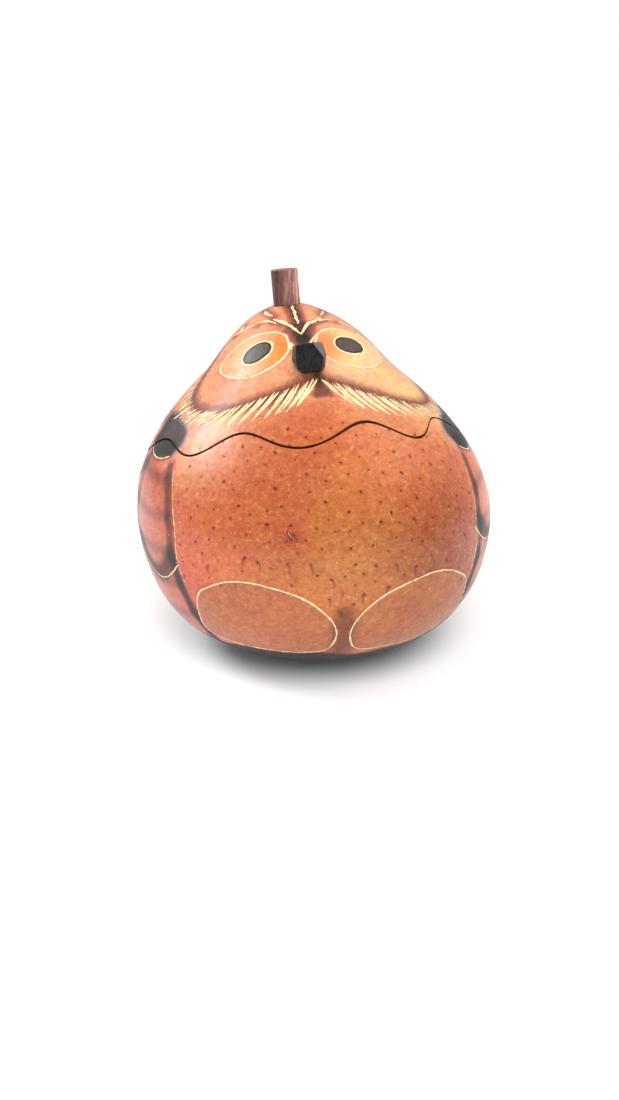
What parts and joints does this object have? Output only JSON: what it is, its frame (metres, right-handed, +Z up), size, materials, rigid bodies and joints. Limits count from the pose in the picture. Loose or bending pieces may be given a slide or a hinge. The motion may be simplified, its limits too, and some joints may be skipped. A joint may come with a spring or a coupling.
{
  "type": "carved gourd trinket box",
  "caption": "Trinket box carved from a dried gourd as an owl, with a wavy-cut lift-off lid, a stem handle on the crown and a whittled wooden beak.",
  "frame": {"origin": "centre of the sanded flat face underneath, on the surface that the box stands on", "axes": "+Z up, -Y is the way the owl faces, +X is the owl's left"},
  "size_m": [0.1124, 0.1124, 0.1163],
  "materials": {
    "gourd_shell": "dyed and burnt gourd shell under clear gloss lacquer",
    "stem_wood": "dyed woody stem, satin",
    "beak_wood": "blackened whittled wood, satin"
  },
  "bodies": {
    "bowl": {"gourd_base": "gourd_shell"},
    "lid": {"gourd_lid": "gourd_shell", "stem": "stem_wood", "beak": "beak_wood"}
  },
  "joints": [
    {"name": "lid_lift", "type": "slide", "parent": "bowl", "child": "lid", "axis": [0, 0, 1], "range_m": [0, 0.07]}
  ]
}
